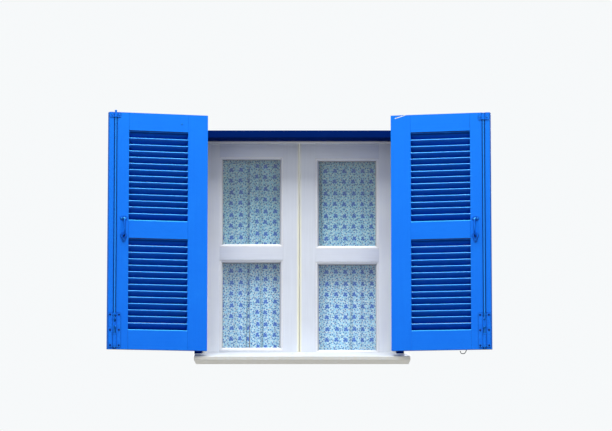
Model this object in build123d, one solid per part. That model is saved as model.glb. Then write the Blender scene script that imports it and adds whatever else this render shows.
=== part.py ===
from build123d import *
import os
from math import sin, cos, tan, radians, pi, sqrt

# Window with a pair of louvred shutters, in its own frame.
# Millimetres.  +X right as seen from outside, +Y into the room, +Z up.
# Origin: underside of the sill, in line with the frame's front face, midway between the jambs.
# The shutters are stored swung back, the casement sashes are stored shut.

# ---------------------------------------------------------------- driving dimensions
# sill
SILL_LEFT, SILL_RIGHT = -520.0, 550.0
SILL_NOSE_Y, SILL_NOSE_H = -100.0, 19.0
SILL_SEAT_Z = 40.0
SILL_CREST_Y, SILL_CREST_Z = 138.0, 56.0
SILL_REBATE_Z = 24.0
# frame boards
FRAME_DEPTH = 183.0
CLEAR_HALF = 485.0
BOARD_T = 36.5
HEAD_UNDER_Z = 1126.0
BEAD_Y0, BEAD_Y1, BEAD_H = 126.0, 140.0, 10.0
FIX_HOLE_R, FIX_HOLE_Y, FIX_SPACING = 4.0, 95.0, 760.0
FIX_MID_Z = 590.0
# shutter leaves (u from the hinge edge, v from the outer face, w from the bottom edge)
LEAF_W, LEAF_H, LEAF_T = 500.0, 1175.0, 35.0
LEAF_BOTTOM_Z = 46.0
LEAF_OUTER_Y = -53.0
HINGE_EDGE_X = 502.0
AXIS_X, AXIS_Y = 484.0, -65.0
HINGE_STILE, MEET_STILE = 101.0, 100.0
W_BOT, W_MID0, W_MID1, W_TOP = 99.0, 551.0, 641.0, 1087.0
OPEN_LEFT, OPEN_RIGHT = 165.0, 167.0
TENON_T, TENON_L = 12.0, 62.0
SLAT_T, SLAT_SLOPE, SLAT_HOUSE = 7.0, 45.0, 6.0
SLAT_V0, SLAT_V1 = 4.0, 33.0
SLATS_UP, SLATS_LOW = 14, 14
FIRST_NOSE, LAST_NOSE = 33.5, 40.0
LOWEST_SLAT_DROP, TOP_SLAT_LIFTS = 1.6, (4.7, 2.4, 0.6)
# shutter hinges
PIN_R, EYE_CLEAR, EYE_R, EYE_H = 5.0, 0.05, 9.0, 36.0
STRAP_T, STRAP_W, STRAP_L = 4.0, 30.0, 190.0
HINGE_WS = (165.0, 985.0)
# bolts
BOLT_U, BOLT_R, BOLT_V = 468.0, 5.5, 36.0
GROOVE_W, GROOVE_D = 15.0, 5.2
KNOB_ROD_W, KNOB_BOLT_W = 149.0, 109.0
ROD_BOTTOM_W, BOLT_TOP_W, BOLT_BOTTOM_W = 138.0, 118.0, 2.0
ROD_TIP_LEFT, ROD_TIP_RIGHT = 1185.0, 1173.0
HOUSE_W0, HOUSE_W1, HOUSE_U0, HOUSE_U1 = 9.0, 178.0, 438.0, 498.0
GUIDE_LEFT, GUIDE_RIGHT = (1150.0, 1173.0), (1139.0, 1166.0)
BOLT_TRAVEL = 25.0
# pull handle
HANDLE_U, HANDLE_W0, HANDLE_W1 = 425.0, 530.0, 659.0
# casement sashes
SASH_Y0, SASH_Y1 = 141.0, 183.0
SASH_OUT_X, SASH_IN_X = 482.0, 3.0
SASH_L = dict(z0=36.0, z1=1123.0, up1=1031.0, up0=605.0, lo1=506.0, lo0=81.0)
SASH_R = dict(z0=30.0, z1=1117.0, up1=1023.0, up0=596.0, lo1=497.0, lo0=69.0)
PANE_OUT_X, PANE_IN_X = 385.0, 99.0
STRIP_Y0, SLOPE_X = 146.0, 1.1
MOULD_W = 17.0
GLASS_T, GLASS_Y = 4.0, 158.0
BUTT_X, BUTT_Y, BUTT_R, BUTT_PIN_R = 483.5, 190.0, 6.0, 3.0
BUTT_ZS, BUTT_H = (200.0, 905.0), 76.0
CURTAIN_ROD_Y, CURTAIN_ROD_Z, CURTAIN_ROD_R = 205.0, 1085.0, 4.0
CURTAIN_Y0, CURTAIN_Y1 = 192.0, 219.0
SCREW_R, SCREW_HEAD_R, SCREW_HEAD_H = 2.0, 4.4, 2.2

os.makedirs("parts", exist_ok=True)


# ---------------------------------------------------------------- helpers
def box(x0, x1, y0, y1, z0, z1):
    b = Box(abs(x1 - x0), abs(y1 - y0), abs(z1 - z0))
    return Pos((x0 + x1) / 2, (y0 + y1) / 2, (z0 + z1) / 2) * b


def cyl_z(x, y, z0, z1, r):
    return Pos(x, y, (z0 + z1) / 2) * Cylinder(r, z1 - z0)


def cyl_y(x, z, y0, y1, r):
    return Pos(x, (y0 + y1) / 2, z) * Rot(90, 0, 0) * Cylinder(r, y1 - y0)


def cyl_x(y, z, x0, x1, r):
    return Pos((x0 + x1) / 2, y, z) * Rot(0, 90, 0) * Cylinder(r, x1 - x0)


def prism_x(points_yz, x0, x1):
    # closed outline in Y,Z carried along X
    face = make_face(Polyline(*[(0, p[0], p[1]) for p in points_yz], close=True))
    s = extrude(face, amount=x1 - x0, dir=(1, 0, 0))
    return Pos(x0, 0, 0) * s


def soft_edges(s, r, axis):
    # eases the long edges of a straight member
    try:
        return fillet(s.edges().filter_by(axis), radius=r)
    except Exception:
        return s


def screw_y(x, y, z, way, length=14.0):
    # raised-head screw whose head stands on the plane y, towards -Y (way=-1) or +Y (way=+1)
    head = cyl_y(x, z, *(sorted((y, y + way * SCREW_HEAD_H))), SCREW_HEAD_R)
    rim = head.edges().filter_by(GeomType.CIRCLE).sort_by(Axis.Y)[0 if way < 0 else -1]
    head = fillet(rim, radius=1.5)
    shank = cyl_y(x, z, *(sorted((y, y - way * length))), SCREW_R)
    slot = box(x - 0.5, x + 0.5, *(sorted((y + way * (SCREW_HEAD_H - 0.8), y + way * (SCREW_HEAD_H + 1)))),
               z - SCREW_HEAD_R, z + SCREW_HEAD_R)
    return head + shank - slot


def pilot_y(x, y0, y1, z, extra=0.05):
    return cyl_y(x, z, min(y0, y1), max(y0, y1), SCREW_R + extra)


def solids_of(shape):
    return list(shape.solids())


def group(shapes):
    out = []
    for s in shapes:
        out += solids_of(s)
    return Compound(children=out) if len(out) > 1 else out[0]


NODES = {}


def keep(name, shape):
    ss = solids_of(shape)
    NODES[name] = shape if len(ss) > 1 else ss[0]


# ---------------------------------------------------------------- sill
nose = prism_x([(SILL_NOSE_Y, 0), (SILL_NOSE_Y, SILL_NOSE_H), (-2, SILL_SEAT_Z), (FRAME_DEPTH, SILL_SEAT_Z),
                (FRAME_DEPTH, 0)], SILL_LEFT, SILL_RIGHT)
nose = fillet(nose.edges().filter_by(Axis.X).group_by(Axis.Y)[0], radius=3.0)
crest = prism_x([(0.0, SILL_SEAT_Z - 5), (0.0, SILL_SEAT_Z), (SILL_CREST_Y - 4, SILL_CREST_Z),
                 (SILL_CREST_Y, SILL_CREST_Z - 2), (SILL_CREST_Y, SILL_SEAT_Z - 5)],
                -CLEAR_HALF, CLEAR_HALF)
rebate = box(-CLEAR_HALF, CLEAR_HALF, SILL_CREST_Y, FRAME_DEPTH + 1, SILL_REBATE_Z, SILL_SEAT_Z + 1)
sill = nose + crest - rebate
BOLT_Y_CLOSED = LEAF_OUTER_Y + BOLT_V
BOLT_X_CLOSED = HINGE_EDGE_X - BOLT_U
for s in (-1, 1):
    sill -= cyl_z(s * BOLT_X_CLOSED, BOLT_Y_CLOSED, 17.0, 60.0, 7.0)
# ---------------------------------------------------------------- frame boards
head_board = box(-CLEAR_HALF - BOARD_T, CLEAR_HALF + BOARD_T, 0, FRAME_DEPTH, HEAD_UNDER_Z, HEAD_UNDER_Z + BOARD_T)
head_board = fillet(head_board.edges().filter_by(Axis.X), radius=2.0)
jambs = {}
for s, name in ((-1, "left"), (1, "right")):
    j = box(s * CLEAR_HALF, s * (CLEAR_HALF + BOARD_T), 0, FRAME_DEPTH, SILL_SEAT_Z, HEAD_UNDER_Z)
    j = fillet(j.edges().filter_by(Axis.Z), radius=2.0)
    for dz in (-FIX_SPACING / 2, FIX_SPACING / 2):
        j -= cyl_x(FIX_HOLE_Y, FIX_MID_Z + dz, min(s * CLEAR_HALF, s * (CLEAR_HALF + BOARD_T)) - 1,
                   max(s * CLEAR_HALF, s * (CLEAR_HALF + BOARD_T)) + 1, FIX_HOLE_R)
    jambs[name] = j
# white stop beads that the sashes shut against
bead_head = box(-CLEAR_HALF, CLEAR_HALF, BEAD_Y0, BEAD_Y1, HEAD_UNDER_Z - BEAD_H, HEAD_UNDER_Z)
bead_head = chamfer(bead_head.edges().filter_by(Axis.X).group_by(Axis.Z)[0].sort_by(Axis.Y)[0], length=4.0)
side_beads = []
for s in (-1, 1):
    b = box(s * CLEAR_HALF, s * (CLEAR_HALF - BEAD_H), BEAD_Y0, BEAD_Y1, SILL_CREST_Z, HEAD_UNDER_Z - BEAD_H)
    side_beads.append(b)

# ---------------------------------------------------------------- shutter hinges: cranked pintles on the jambs
ARM_T, ARM_H = 6.0, 13.0
pintles, pintle_screws = [], []
for s in (-1, 1):
    for w in HINGE_WS:
        zc = LEAF_BOTTOM_Z + w                       # middle of the strap's eye
        z_sh = zc - EYE_H / 2 - 0.3                  # shoulder that the eye rides on
        xo = s * (HINGE_EDGE_X + 5.0)                # inner side of the arm, clear of the leaf's edge
        plate = box(s * 487.5, s * 518.5, -4.0, 0.0, z_sh - 52, z_sh + 38)
        plate = fillet(plate.edges().filter_by(Axis.Y), radius=6.0)
        arm = box(xo, xo + s * ARM_T, AXIS_Y - ARM_T / 2, -3.0, z_sh - ARM_H, z_sh)
        cross = box(s * AXIS_X, xo + s * ARM_T, AXIS_Y - ARM_T / 2, AXIS_Y + ARM_T / 2, z_sh - ARM_H, z_sh)
        boss = cyl_z(s * AXIS_X, AXIS_Y, z_sh - ARM_H, z_sh, 9.5)
        pin = cyl_z(s * AXIS_X, AXIS_Y, z_sh - 1, z_sh + EYE_H + 3.0, PIN_R)
        pin = chamfer(pin.edges().filter_by(GeomType.CIRCLE).sort_by(Axis.Z)[-1], length=1.5)
        p = plate + arm + cross + boss + pin
        for dz in (-40, 26):
            xs = s * 503.0 if dz < 0 else s * 503.0
            p -= pilot_y(xs, -6, 2, z_sh + dz, 0.1)
            jambs["left" if s < 0 else "right"] -= pilot_y(xs, -1, 22.0, z_sh + dz)
            pintle_screws.append(screw_y(xs, -4.0, z_sh + dz, -1, 22.0))
        pintles.append(p)

# ---------------------------------------------------------------- butt hinges of the sashes (on the room side)
jamb_leaves, sash_leaves = [], {-1: [], 1: []}
for s, drop in ((-1, 0.0), (1, -6.0)):
    for z0 in BUTT_ZS:
        z0 = z0 + drop
        k = BUTT_H / 3
        jp = box(s * 487.5, s * 518.0, FRAME_DEPTH, FRAME_DEPTH + 2.5, z0, z0 + BUTT_H)
        web = box(s * (BUTT_X + 0.5), s * 488.5, FRAME_DEPTH + 0.5, FRAME_DEPTH + 2.5, z0, z0 + k - 0.3)
        web2 = box(s * (BUTT_X + 0.5), s * 488.5, FRAME_DEPTH + 0.5, FRAME_DEPTH + 2.5, z0 + 2 * k + 0.3, z0 + BUTT_H)
        kn1 = cyl_z(s * BUTT_X, BUTT_Y, z0, z0 + k - 0.3, BUTT_R)
        kn2 = cyl_z(s * BUTT_X, BUTT_Y, z0 + 2 * k + 0.3, z0 + BUTT_H, BUTT_R)
        jl = jp + web + web2 + kn1 + kn2 - cyl_z(s * BUTT_X, BUTT_Y, z0 - 1, z0 + BUTT_H + 1, BUTT_PIN_R)
        sp = box(s * 449.0, s * 479.5, FRAME_DEPTH, FRAME_DEPTH + 2.5, z0, z0 + BUTT_H)
        web3 = box(s * (BUTT_X - 0.5), s * 478.5, FRAME_DEPTH + 0.5, FRAME_DEPTH + 2.5, z0 + k + 0.3, z0 + 2 * k - 0.3)
        kn3 = cyl_z(s * BUTT_X, BUTT_Y, z0 + k + 0.3, z0 + 2 * k - 0.3, BUTT_R)
        sl = sp + web3 + kn3 - cyl_z(s * BUTT_X, BUTT_Y, z0 - 1, z0 + BUTT_H + 1, BUTT_PIN_R + 0.05)
        hp = cyl_z(s * BUTT_X, BUTT_Y, z0, z0 + BUTT_H + 3, BUTT_PIN_R)
        cap = cyl_z(s * BUTT_X, BUTT_Y, z0 + BUTT_H, z0 + BUTT_H + 3, 4.6)
        jamb_leaves += [jl, hp + cap]
        sash_leaves[s].append(sl)

keep("window_sill", sill)
keep("frame_head", head_board)
keep("frame_jamb_left", jambs["left"])
keep("frame_jamb_right", jambs["right"])
keep("stop_beads", group([bead_head] + side_beads))
keep("shutter_pintles", group(pintles))
keep("pintle_screws", group(pintle_screws))
keep("sash_hinge_jamb_leaves", group(jamb_leaves))

# ---------------------------------------------------------------- shutter leaves


def slat_outline(v0, v1, wc, t, grow=0.0):
    # one louvre blade's section: rounded long edges, room-side edge high, outer edge low
    a = radians(SLAT_SLOPE)
    run = v1 - v0
    vm = (v0 + v1) / 2
    half = run / 2 - t / 2 * sin(a)
    dv, dw = half, half * tan(a)
    length = 2 * sqrt(dv * dv + dw * dw) + t * 0.96
    sk = SlotOverall(length + 2 * grow, t + 2 * grow)
    return Plane(origin=(0, vm, wc), x_dir=(0, cos(a), sin(a)), z_dir=(1, 0, 0)) * sk


def leaf(side, ang, rod_tip, guide):
    tag = "left" if side < 0 else "right"
    pre = tag + "_shutter_"
    made = {}

    def X(u):
        return side * (HINGE_EDGE_X - u)

    def Y(v):
        return LEAF_OUTER_Y + v

    def Z(w):
        return LEAF_BOTTOM_Z + w

    def bx(u0, u1, v0, v1, w0, w1):
        return box(X(u0), X(u1), Y(v0), Y(v1), Z(w0), Z(w1))

    u_in0, u_in1 = HINGE_STILE, LEAF_W - MEET_STILE
    tv0, tv1 = (LEAF_T - TENON_T) / 2, (LEAF_T + TENON_T) / 2
    rails = {"bottom_rail": (0.0, W_BOT), "middle_rail": (W_MID0, W_MID1), "top_rail": (W_TOP, LEAF_H)}

    # stiles with their mortises
    hs = soft_edges(bx(0, u_in0, 0, LEAF_T, 0, LEAF_H), 1.8, Axis.Z)
    ms = soft_edges(bx(u_in1, LEAF_W, 0, LEAF_T, 0, LEAF_H), 1.8, Axis.Z)
    # channel that the long bolt slides in
    ms -= bx(BOLT_U - GROOVE_W / 2, BOLT_U + GROOVE_W / 2, LEAF_T - GROOVE_D, LEAF_T + 1, -1, LEAF_H + 1)
    for nm, (w0, w1) in rails.items():
        r = bx(u_in0, u_in1, 0, LEAF_T, w0, w1)
        es = r.edges().filter_by(Axis.X)
        if nm != "top_rail":
            top_e = [e for e in es if abs(e.center().Z - Z(w1)) < 0.01]
            r = chamfer(top_e, length=4.0)
            es = r.edges().filter_by(Axis.X)
        ten_w0, ten_w1 = w0 + 12, w1 - 12
        t1 = bx(u_in0 - TENON_L, u_in0 + 0.5, tv0, tv1, ten_w0, ten_w1)
        t2 = bx(u_in1 - 0.5, u_in1 + TENON_L - 38, tv0, tv1, ten_w0, ten_w1)
        made[nm] = r + t1 + t2
        hs -= bx(u_in0 - TENON_L, u_in0 + 1, tv0, tv1, ten_w0, ten_w1)
        ms -= bx(u_in1 - 1, u_in1 + TENON_L - 38, tv0, tv1, ten_w0, ten_w1)

    # louvre blades, housed in the stiles
    xa, xb = sorted((X(u_in0 - SLAT_HOUSE), X(u_in1 + SLAT_HOUSE)))
    for nm, lo, hi, n in (("lower_louvres", W_BOT, W_MID0, SLATS_LOW), ("upper_louvres", W_MID1, W_TOP, SLATS_UP)):
        rise = (SLAT_V1 - SLAT_V0) * tan(radians(SLAT_SLOPE))
        pitch = (hi - lo - FIRST_NOSE - LAST_NOSE) / (n - 2)
        blades = []
        for i in range(n):
            wc = lo + FIRST_NOSE + pitch * i - rise / 2
            # the end blades sit closer to the rails
            if n - 1 - i < len(TOP_SLAT_LIFTS):
                wc += TOP_SLAT_LIFTS[n - 1 - i]
            if i == 0:
                wc -= LOWEST_SLAT_DROP
            # the lowest blade's outer edge would run into the rail: it is cut flush with it
            prof = slat_outline(Y(SLAT_V0), Y(SLAT_V1), Z(wc), SLAT_T)
            blade = Pos(xa, 0, 0) * extrude(prof, amount=xb - xa, dir=(1, 0, 0))
            keepbox = box(xa - 1, xb + 1, Y(-5), Y(LEAF_T + 5), Z(lo + 0.2), Z(hi - 0.2))
            blade = blade & keepbox
            blades.append(blade)
            cutp = slat_outline(Y(SLAT_V0), Y(SLAT_V1), Z(wc), SLAT_T, 0.1)
            cutb = Pos(xa - 0.1, 0, 0) * extrude(cutp, amount=xb - xa + 0.2, dir=(1, 0, 0))
            kb = box(xa - 1, xb + 1, Y(-5), Y(LEAF_T + 5), Z(lo + 0.1), Z(hi - 0.1))
            cutb = cutb & kb
            hs -= cutb
            ms -= cutb
        made[nm] = group(blades)

    screws = []

    def screw_in(u, w, room_side, length=14.0, plate_t=2.5):
        nonlocal hs, ms
        y = Y(LEAF_T + plate_t) if room_side else Y(-plate_t)
        way = 1 if room_side else -1
        screws.append(screw_y(X(u), y, Z(w), way, length))
        inner = Y(LEAF_T - length) if room_side else Y(length)
        hole = pilot_y(X(u), y - way * (length + 0.2), y + way * 0.5, Z(w))
        return hole

    # strap hinges on the outer face: eye round the pintle, long tapered strap
    straps = []
    for wc in HINGE_WS:
        eye = cyl_z(side * AXIS_X, AXIS_Y, Z(wc) - EYE_H / 2, Z(wc) + EYE_H / 2, EYE_R)
        u_eye = HINGE_EDGE_X - AXIS_X
        pts = [(X(u_eye), Z(wc) - STRAP_W / 2), (X(u_eye + STRAP_L - 14), Z(wc) - STRAP_W / 2 + 6),
               (X(u_eye + STRAP_L), Z(wc)), (X(u_eye + STRAP_L - 14), Z(wc) + STRAP_W / 2 - 6),
               (X(u_eye), Z(wc) + STRAP_W / 2)]
        face = make_face(Polyline(*[(p[0], 0, p[1]) for p in pts], close=True))
        strap = Pos(0, Y(-STRAP_T), 0) * extrude(face, amount=STRAP_T, dir=(0, 1, 0))
        st = eye + strap - cyl_z(side * AXIS_X, AXIS_Y, Z(wc) - EYE_H, Z(wc) + EYE_H, PIN_R + EYE_CLEAR)
        for du in (45.0, 74.0):
            hole = screw_in(u_eye + du - 4, wc, False, 26.0, STRAP_T)
            st -= cyl_y(X(u_eye + du - 4), Z(wc), Y(-STRAP_T) - 1, Y(0) + 1, SCREW_R + 0.1)
            hs -= hole
        straps.append(st)
    made["hinge_straps"] = group(straps)

    # long bolt's top guide: a strap bridging the rod
    g0, g1 = guide
    gu0, gu1 = 444.0, 499.0 - 0.0
    gplate = bx(gu0, gu1 - 1, LEAF_T, LEAF_T + 2.5, g0, g1)
    gplate = fillet(gplate.edges().filter_by(Axis.Y), radius=2.5)
    garch = cyl_z(X(BOLT_U), Y(BOLT_V), Z(g0), Z(g1), 9.0) & bx(BOLT_U - 10, BOLT_U + 10, LEAF_T, LEAF_T + 14, g0, g1)
    gd = gplate + garch - cyl_z(X(BOLT_U), Y(BOLT_V), Z(g0) - 1, Z(g1) + 1, BOLT_R + 0.1)
    gd -= bx(BOLT_U - BOLT_R - 0.1, BOLT_U + BOLT_R + 0.1, LEAF_T - 1, BOLT_V + 0.0, g0 - 1, g1 + 1)
    for u in (451.5, 486.5):
        h = screw_in(u, (g0 + g1) / 2, True)
        gd -= cyl_y(X(u), Z((g0 + g1) / 2), Y(LEAF_T) - 1, Y(LEAF_T + 2.5) + 1, SCREW_R + 0.1)
        ms -= h
    made["bolt_guide"] = gd

    # bolt housing near the foot: flat plate with a raised barrel, slotted for the two knobs
    hplate = bx(HOUSE_U0, HOUSE_U1, LEAF_T, LEAF_T + 2.5, HOUSE_W0, HOUSE_W1)
    hplate = fillet(hplate.edges().filter_by(Axis.Y), radius=3.0)
    barrel = cyl_z(X(BOLT_U), Y(BOLT_V), Z(HOUSE_W0), Z(HOUSE_W1), 9.4) & \
        bx(BOLT_U - 10, BOLT_U + 10, LEAF_T, LEAF_T + 14, HOUSE_W0, HOUSE_W1)
    hg = hplate + barrel
    # raised ribs where the barrel is swaged round the guides
    for wr in (HOUSE_W0 + 10, 76.0, HOUSE_W1 - 8):
        rib = cyl_z(X(BOLT_U), Y(BOLT_V), Z(wr - 3), Z(wr + 3), 10.6) & \
            bx(BOLT_U - 11, BOLT_U + 11, LEAF_T, LEAF_T + 14, wr - 3, wr + 3)
        hg += rib
    hg -= cyl_z(X(BOLT_U), Y(BOLT_V), Z(HOUSE_W0) - 1, Z(HOUSE_W1) + 1, BOLT_R + 0.6)
    hg -= bx(BOLT_U - BOLT_R - 0.6, BOLT_U + BOLT_R + 0.6, LEAF_T - 1, BOLT_V, HOUSE_W0 - 1, HOUSE_W1 + 1)
    slot_w = 5.0
    hg -= bx(BOLT_U - slot_w, BOLT_U + slot_w, BOLT_V, LEAF_T + 16, KNOB_ROD_W - 5 - (10 if side < 0 else 0),
             KNOB_ROD_W + 5 + (15 if side < 0 else 25))
    hg -= bx(BOLT_U - slot_w, BOLT_U + slot_w, BOLT_V, LEAF_T + 16, KNOB_BOLT_W - 5 - BOLT_TRAVEL, KNOB_BOLT_W + 5)
    for u in (446.0, 490.0):
        for w in (HOUSE_W0 + 9, 94.0, HOUSE_W1 - 9):
            h = screw_in(u, w, True)
            hg -= cyl_y(X(u), Z(w), Y(LEAF_T) - 1, Y(LEAF_T + 2.5) + 1, SCREW_R + 0.1)
            ms -= h
    made["bolt_housing"] = hg

    # the two bolts
    rod = cyl_z(X(BOLT_U), Y(BOLT_V), Z(ROD_BOTTOM_W), Z(rod_tip), BOLT_R)
    rod = chamfer(rod.edges().filter_by(GeomType.CIRCLE), length=1.2)
    knob = cyl_y(X(BOLT_U), Z(KNOB_ROD_W), Y(BOLT_V), Y(BOLT_V + 17), 3.2)
    ball = Pos(X(BOLT_U), Y(BOLT_V + 19), Z(KNOB_ROD_W)) * Sphere(4.6)
    rod = rod + knob + ball
    sb = cyl_z(X(BOLT_U), Y(BOLT_V), Z(BOLT_BOTTOM_W), Z(BOLT_TOP_W), BOLT_R)
    sb = chamfer(sb.edges().filter_by(GeomType.CIRCLE), length=1.2)
    knob2 = cyl_y(X(BOLT_U), Z(KNOB_BOLT_W), Y(BOLT_V), Y(BOLT_V + 17), 3.2)
    ball2 = Pos(X(BOLT_U), Y(BOLT_V + 19), Z(KNOB_BOLT_W)) * Sphere(4.6)
    sb = sb + knob2 + ball2

    # bow pull: oval rose above, tear-shaped plate below, bowed grip between
    path = FilletPolyline((X(HANDLE_U), Y(LEAF_T + 1), Z(HANDLE_W1 - 12)), (X(HANDLE_U), Y(LEAF_T + 24), Z(HANDLE_W1 - 15)),
                          (X(HANDLE_U), Y(LEAF_T + 31), Z(594)), (X(HANDLE_U), Y(LEAF_T + 24), Z(HANDLE_W0 + 32)),
                          (X(HANDLE_U), Y(LEAF_T + 1), Z(HANDLE_W0 + 29)), radius=(8.0, 60.0, 8.0))
    sec = Plane(origin=path @ 0, z_dir=path % 0) * Circle(4.6)
    grip = sweep(sec, path=path)
    rose = Pos(X(HANDLE_U), Y(LEAF_T + 1.5), Z(HANDLE_W1 - 12)) * Rot(90, 0, 0) * extrude(Ellipse(16.5, 9.5), amount=1.5, both=True)
    tear_sk = Ellipse(15.5, 13.0) + (Pos(0, -16) * Ellipse(8.5, 14.0))
    tear = Pos(X(HANDLE_U), Y(LEAF_T + 1.5), Z(HANDLE_W0 + 31)) * Rot(90, 0, 0) * extrude(tear_sk, amount=1.5, both=True)
    hd = grip + rose + tear
    for (u, w) in ((HANDLE_U - 10.6, HANDLE_W1 - 12), (HANDLE_U + 10.6, HANDLE_W1 - 12), (HANDLE_U, HANDLE_W0 + 11)):
        h = screw_in(u, w, True, 14.0, 3.0)
        hd -= cyl_y(X(u), Z(w), Y(LEAF_T) - 1, Y(LEAF_T + 3) + 1, SCREW_R + 0.1)
        ms -= h
    made["handle"] = hd
    # small fixing stud on the top rail's room face
    if side < 0:
        screws.append(screw_y(X(133.0), Y(LEAF_T), Z(1129.0), 1, 14.0))
        made["top_rail"] -= pilot_y(X(133.0), Y(LEAF_T - 14.2), Y(LEAF_T + 0.5), Z(1129.0))
    made["screws"] = group(screws)
    made["hinge_stile"] = hs
    made["meeting_stile"] = ms

    extra = {tag + "_top_bolt": rod, tag + "_bottom_bolt": sb}
    if side > 0:
        # stay hook on the outer face near the foot: screw eye and hook
        hu, hw = 366.0, 50.0
        ring = Pos(X(hu), Y(-11.0), Z(hw)) * Rot(0, 0, 0) * Torus(6.0, 1.8)
        stem = cyl_y(X(hu), Z(hw), Y(-5.6), Y(15.0), 1.8)
        eye = ring + stem
        made["bottom_rail"] -= cyl_y(X(hu), Z(hw), Y(-1), Y(15.2), 1.85)
        # hook: loop round the eye's ring, straight shank, open hook at the end
        hx, hy, hz = X(hu), Y(-17.0), Z(hw)
        pts = [(hx, hy, hz - 4.4), (hx, hy, hz - 54.5), (X(hu - 9), hy, hz - 66.5), (X(hu - 24), hy, hz - 66.5),
               (X(hu - 31), hy, hz - 53.0)]
        hp = FilletPolyline(*pts, radius=(8.0, 8.0, 7.0))
        hook = sweep(Plane(origin=hp @ 0, z_dir=hp % 0) * Circle(1.9), path=hp)
        loop = Pos(hx, hy + 0.0, hz) * Rot(0, 90, 0) * Torus(4.6, 1.9)
        extra["right_stay_hook"] = hook + loop
        extra["right_stay_eye"] = eye

    turn = Rot(0, 0, side * ang)

    def swing(sh):
        c = Pos(side * AXIS_X, AXIS_Y, 0) * turn * Pos(-side * AXIS_X, -AXIS_Y, 0)
        return c * sh

    for k, v in made.items():
        keep(pre + k, swing(v))
    for k, v in extra.items():
        keep(k, swing(v))


leaf(-1, OPEN_LEFT, ROD_TIP_LEFT, GUIDE_LEFT)
leaf(1, OPEN_RIGHT, ROD_TIP_RIGHT, GUIDE_RIGHT)

# ---------------------------------------------------------------- casement sashes


def ring(x0, x1, z0, z1, y0, y1, w_front, w_back):
    # mitred moulding round a pane: outer size x0..x1, z0..z1; sight width w_back at y1, w_front at y0
    xc, zc = (x0 + x1) / 2, (z0 + z1) / 2
    W, H = x1 - x0, z1 - z0
    outer = box(x0, x1, y0, y1, z0, z1)
    f = Plane(origin=(xc, y0, zc), x_dir=(1, 0, 0), z_dir=(0, -1, 0)) * Rectangle(W - 2 * w_front, H - 2 * w_front)
    b = Plane(origin=(xc, y1, zc), x_dir=(1, 0, 0), z_dir=(0, -1, 0)) * Rectangle(W - 2 * w_back, H - 2 * w_back)
    cut = loft([f.faces()[0], b.faces()[0]])
    return outer - cut


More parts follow.
